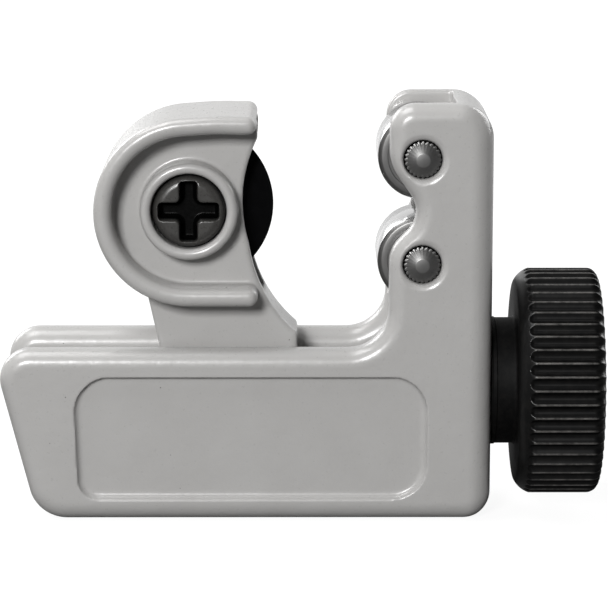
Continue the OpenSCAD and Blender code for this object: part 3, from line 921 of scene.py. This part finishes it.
def build_pin(name):
    """A pressed pin with a fluted band and a tapered end on each side."""
    low, high = PIN_BOXES[name]
    centre = (low + high) / 2
    pin_r = (high.z - low.z) / 2
    end_y = high.y
    flutes, flute_depth, fluted_from_r, band_len = 24, 0.16, 1.75, 2.2
    band_y = end_y - band_len
    cone = ((0, 0), (0, 0.72), (0.02, 0.8), (0.62, 1.7), (0.68, 1.82), (0.74, pin_r))
    half = [(end_y - back, radius) for back, radius in cone] + [(band_y, pin_r), (band_y - 0.2, pin_r)]

    def fluted(along, radius, turn):
        """Sharp flutes with round lands on the band and its edge."""
        if abs(along) < band_y or radius < fluted_from_r:
            return radius
        wave = 0.5 - 0.5 * math.cos(flutes * turn)
        return radius - flute_depth * wave**1.5

    body = turned(half + mirrored_ends(half), about_y(centre.x, centre.z), 12 * flutes, fluted)
    piece(f"{name}_detailed", body, "frame", "pin_steel", name, 35)


def build_feed_screw():
    """The feed screw with a true helical thread, a plain journal and a grip inside the knob."""
    grip_r = (FEED_HIGH.z - FEED_LOW.z) / 2
    ring_low, ring_high = cad_box("retaining_ring")
    thread_end = ring_low.x - 2 * THREAD_PITCH
    per_pitch = 10
    rows = round((thread_end - FEED_LOW.x) / THREAD_PITCH * per_pitch)
    chamfer, flank, crest, lead_depth = 0.3, 1.25, 0.12, 0.5
    start = [(FEED_LOW.x, 0), (FEED_LOW.x, SCREW_R - THREAD_DEPTH - chamfer)]
    thread_x = FEED_LOW.x + chamfer
    thread = [(thread_x + (thread_end - thread_x) * i / rows, SCREW_R) for i in range(rows + 1)]
    groove_r = SCREW_R - 0.5
    journal = [
        (ring_low.x - SEAT_GAP, SCREW_R),
        (ring_low.x - SEAT_GAP, groove_r),
        (ring_high.x + SEAT_GAP, groove_r),
        (ring_high.x + SEAT_GAP, SCREW_R),
        (GRIP_X, SCREW_R),
        (GRIP_X, grip_r),
        (FEED_HIGH.x, grip_r),
        (FEED_HIGH.x, 0),
    ]

    def threaded(along, radius, turn):
        """A thread with flat crests, led in at its start and run out at its end."""
        if radius != SCREW_R or along > thread_end:
            return radius
        phase = ((along - FEED_LOW.x) / THREAD_PITCH + turn / (2 * math.pi)) % 1
        depth = THREAD_DEPTH * min(1.0, max(0.0, abs(2 * phase - 1) * flank - crest))
        run_out = min(1.0, (thread_end - along) / THREAD_PITCH)
        lead_in = max(0.0, 1 - (along - FEED_LOW.x) / THREAD_PITCH) * lead_depth
        return radius - max(depth * run_out, lead_in)

    body = turned(start + thread + journal, about_x(KNOB_Z), BORE_STEPS, threaded)
    piece("feed_screw_detailed", body, "knob", "screw_steel", "feed_screw", 50)


def build_knob():
    """The fluted knob with its collar, a shallow dish in its end and a seat for the screw's grip."""
    collar_r, collar_end = 7.05, KNOB_LOW.x + COLLAR_LEN - BODY_FORWARD
    step_len, step_r = 0.55, 7.15
    end_x = KNOB_HIGH.x
    shoulder_len = 1.6
    dish_r, dish_depth = 9.0, 0.6
    seat_r, mark_r = FEED_HIGH.z - KNOB_Z + SEAT_GAP, 0.25
    flutes, flute_depth, half_flute, soft = 52, 0.50, 0.70, 0.035
    flute_start, flute_run = collar_end + 0.95, 0.8
    flute_curve = half_flute**2 / (2 * flute_depth)
    root = 0.35
    wall_x = KNOB_LOW.x
    step_x = wall_x + step_len
    profile = [(wall_x, SCREW_R + SEAT_GAP), (wall_x, step_r - 0.2), (wall_x + 0.2, step_r)]
    profile += [(step_x, step_r), (step_x + 0.1, collar_r), (collar_end - root, collar_r)]
    profile += [(collar_end - root * up, collar_r + root * out) for out, up in quarter(4)][1:]
    profile += [(collar_end, (collar_r + KNOB_R) / 2)]
    shoulder_steps = 20
    for i, (out, up) in enumerate(quarter(shoulder_steps)):
        straight = i / shoulder_steps
        out, up = (out + straight) / 2, (up + 1 - straight) / 2
        profile.append((collar_end + shoulder_len * out, KNOB_R - SHOULDER_DROP * up))
    rows = 44
    run_low, run_high = collar_end + shoulder_len, end_x - KNOB_RIM_R
    profile += [(run_low + (run_high - run_low) * i / rows, KNOB_R) for i in range(1, rows)]
    profile += [(end_x - KNOB_RIM_R * up, KNOB_R - KNOB_RIM_R * out) for up, out in reversed(quarter(8))]
    dish_x, grip_end = end_x - dish_depth, FEED_HIGH.x + 0.1
    profile += [(end_x, dish_r + 0.3), (end_x - 0.2, dish_r)]
    profile += [(dish_x + 0.1, dish_r - 0.15), (dish_x, dish_r - 0.4)]
    profile += [(dish_x, 2 * mark_r), (dish_x - 0.02, mark_r + 0.05), (grip_end, mark_r)]
    profile += [(grip_end, seat_r), (GRIP_X, seat_r), (GRIP_X, SCREW_R + SEAT_GAP)]

    def fluted(along, radius, turn):
        """Round grooves with softened crests between them, that rise to nothing on the shoulder."""
        if radius < KNOB_R - SHOULDER_DROP - 0.1 or along < collar_end:
            return radius
        share = (turn * flutes / (2 * math.pi)) % 1 - 0.5
        across = share * 2 * math.pi * KNOB_R / flutes
        lead = share_of(along, flute_start + flute_run, flute_start)
        depth = flute_depth * (1 - lead**2) - across**2 / (2 * flute_curve)
        groove = depth if depth > soft else soft * math.exp((depth - soft) / soft)
        return radius + min(0.0, soft / math.e - groove)

    body = turned(profile, about_x(KNOB_Z), 20 * flutes, fluted)
    piece("knob_detailed", body, "knob", "black_plastic", "knob", 40)


build_frame()
build_slide()
build_wheel()
build_wheel_screw()
for roller_name in ROLLER_BOXES:
    build_roller(roller_name)
for pin_name in PIN_BOXES:
    build_pin(pin_name)
build_feed_screw()
build_knob()


def dress_node(node, slot):
    """Gives a CAD node that the scene keeps its material and a small edge break."""
    edge_break = 0.06
    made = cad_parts[node]
    for holder in made.material_slots:
        holder.material = MATERIALS[slot]
    bevel = made.modifiers.new("edge break", "BEVEL")
    bevel.width = edge_break * MM
    bevel.segments = 2
    bevel.angle_limit = math.radians(50)
    bevel.harden_normals = True


dress_node("retaining_ring", "spring_steel")
dress_node("thrust_washer", "screw_steel")


# Floor, light and camera

FLOOR_LIT, FLOOR_GLOW = 0.10, 0.92
WORLD_AMBIENT = 0.025
MIRRORED_FRONT, MIRRORED = 0.05, 0.88


def studio_white(name):
    """A white floor that looks plain white to the camera and still takes the object's shadow.

    It glows to the camera, a little less near the tool, where light and shadow add to it. In
    reflections it darkens towards the front, as the world does.
    """
    white = Shading(name)
    white.set(Base_Color=(FLOOR_LIT, FLOOR_LIT, FLOOR_LIT, 1), Roughness=0.9)
    path = white.node("ShaderNodeLightPath")
    place = white.node("ShaderNodeTexCoord").outputs["Object"]
    away = white.node("ShaderNodeVectorMath", {0: place}, operation="LENGTH").outputs["Value"]
    glow = white.between(away, FLOOR_GLOW, 1.0, 0.04, 0.30)
    behind = white.between(white.split(place, "Y"), MIRRORED_FRONT, MIRRORED, 0.0, 0.20)
    direct = white.math("MAXIMUM", path.outputs["Is Camera Ray"], path.outputs["Is Transmission Ray"])
    mirrored = white.math("MULTIPLY", path.outputs["Is Glossy Ray"], behind)
    strength = white.math("MULTIPLY", white.math("MAXIMUM", direct, mirrored), glow)
    shine = white.node("ShaderNodeEmission", {"Strength": strength})
    both = white.node("ShaderNodeAddShader", {0: white.shader.outputs[0], 1: shine.outputs[0]})
    white.feed(white.tree.nodes["Material Output"].inputs["Surface"], both.outputs[0])
    return white.material


def build_floor():
    """The floor, a hair below the tool's underside; its measures are in metres."""
    half_size, below = 3.0, 0.00002
    mesh = bmesh.new()
    bmesh.ops.create_grid(mesh, x_segments=1, y_segments=1, size=half_size)
    floor = in_scene("studio_floor", mesh_data("studio_floor", mesh))
    floor.location.z = -below
    floor.data.materials.append(studio_white("studio_floor"))


def build_world():
    """White to the camera; in reflections light behind, and darker towards the front and the knob's side."""
    world = bpy.data.worlds.new("studio")
    bpy.context.scene.world = world
    world.use_nodes = True
    sky = Nodes(world.node_tree)
    background = sky.tree.nodes["Background"]
    sky.feed(background.inputs["Color"], (1, 1, 1, 1))
    path = sky.node("ShaderNodeLightPath")
    seen = sky.math("MAXIMUM", path.outputs["Is Camera Ray"], path.outputs["Is Transmission Ray"])
    way = sky.node("ShaderNodeTexCoord").outputs["Generated"]
    behind = sky.between(sky.split(way, "Y"), MIRRORED_FRONT, MIRRORED, -0.9, 0.6)
    aside = sky.between(sky.split(way, "X"), 1.0, 0.3, 0.08, 0.40)
    glossy = sky.math("MULTIPLY", path.outputs["Is Glossy Ray"], sky.math("MULTIPLY", behind, aside))
    strength = sky.math("MAXIMUM", sky.math("MAXIMUM", seen, glossy), WORLD_AMBIENT)
    sky.feed(background.inputs["Strength"], strength)


def lamp(name, place, target, size, power):
    """A soft rectangular lamp aimed at a point; places and sizes are in metres, power in watts."""
    data = bpy.data.lights.new(name, "AREA")
    data.shape = "RECTANGLE"
    data.size, data.size_y = size
    data.energy = power
    made = in_scene(name, data)
    made.location = place
    made.rotation_euler = (Vector(target) - Vector(place)).to_track_quat("-Z", "Y").to_euler()


def build_lamps():
    """A key lamp in front, a faint one overhead, and edge lights behind and at the knob's side."""
    middle = (0, 0, 0.02)
    lamp("key", (-0.17, -0.56, 0.265), middle, (0.15, 0.15), 3.75)
    lamp("overhead", (-0.14, 0.0, 0.35), middle, (0.25, 0.19), 1.0)
    lamp("back left", (-0.32, 0.46, 0.24), middle, (0.30, 0.25), 1.1)
    lamp("back right", (0.34, 0.46, 0.24), middle, (0.30, 0.25), 0.8)
    lamp("knob side", (0.50, 0.24, 0.16), middle, (0.20, 0.20), 0.4)


def build_camera():
    """The photograph's view: from the front, looking down a little."""
    place = Vector((-0.56, -322.0, 87.47)) * MM
    yaw, pitch = math.radians(0.161), math.radians(11.333)
    look = Vector((math.sin(yaw) * math.cos(pitch), math.cos(yaw) * math.cos(pitch), -math.sin(pitch)))
    right = Vector((math.cos(yaw), -math.sin(yaw), 0))
    up = right.cross(look)
    turn = Matrix((right, up, -look)).transposed()
    data = bpy.data.cameras.new("camera")
    photo_size, focal_pixels = 608, 2943
    data.sensor_width = 36
    data.lens = data.sensor_width * focal_pixels / photo_size
    data.clip_start = 0.01
    data.clip_end = 20
    camera = in_scene("camera", data)
    camera.matrix_world = Matrix.Translation(place) @ turn.to_4x4()
    bpy.context.scene.camera = camera


build_floor()
build_world()
build_lamps()
build_camera()
bpy.context.scene.view_settings.view_transform = "Standard"

bpy.context.view_layer.update()
